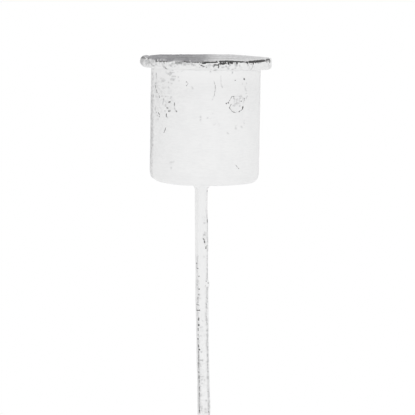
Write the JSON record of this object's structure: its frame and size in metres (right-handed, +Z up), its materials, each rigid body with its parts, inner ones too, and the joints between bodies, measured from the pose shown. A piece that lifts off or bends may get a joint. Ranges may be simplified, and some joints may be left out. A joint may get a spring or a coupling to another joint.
{
  "type": "candlestick",
  "caption": "White-painted metal candlestick: a round sheet cup with a beaded wire rim on a slim, slightly twisted square bar that ends in a spike, for a dinner candle.",
  "frame": {"origin": "tip of the spike, where the candlestick is pushed in and held", "axes": "+Z up along the cup's axis, which stands the candle upright; the front, with two of the four grip dimples, faces -Y; the bar leans to +X on its way down"},
  "size_m": [0.0299, 0.0298, 0.1503],
  "materials": {
    "cup_paint": "matt white paint, rubbed thin in places",
    "rim_paint": "matt white paint, worn through to dark metal along the top",
    "bar_paint": "matt white paint, chipped along the edges"
  },
  "bodies": {
    "root": {"candle_cup": "cup_paint", "rim_ring": "rim_paint", "rim_braze": "rim_paint", "stem_bar": "bar_paint", "stem_weld": "bar_paint"}
  },
  "joints": []
}
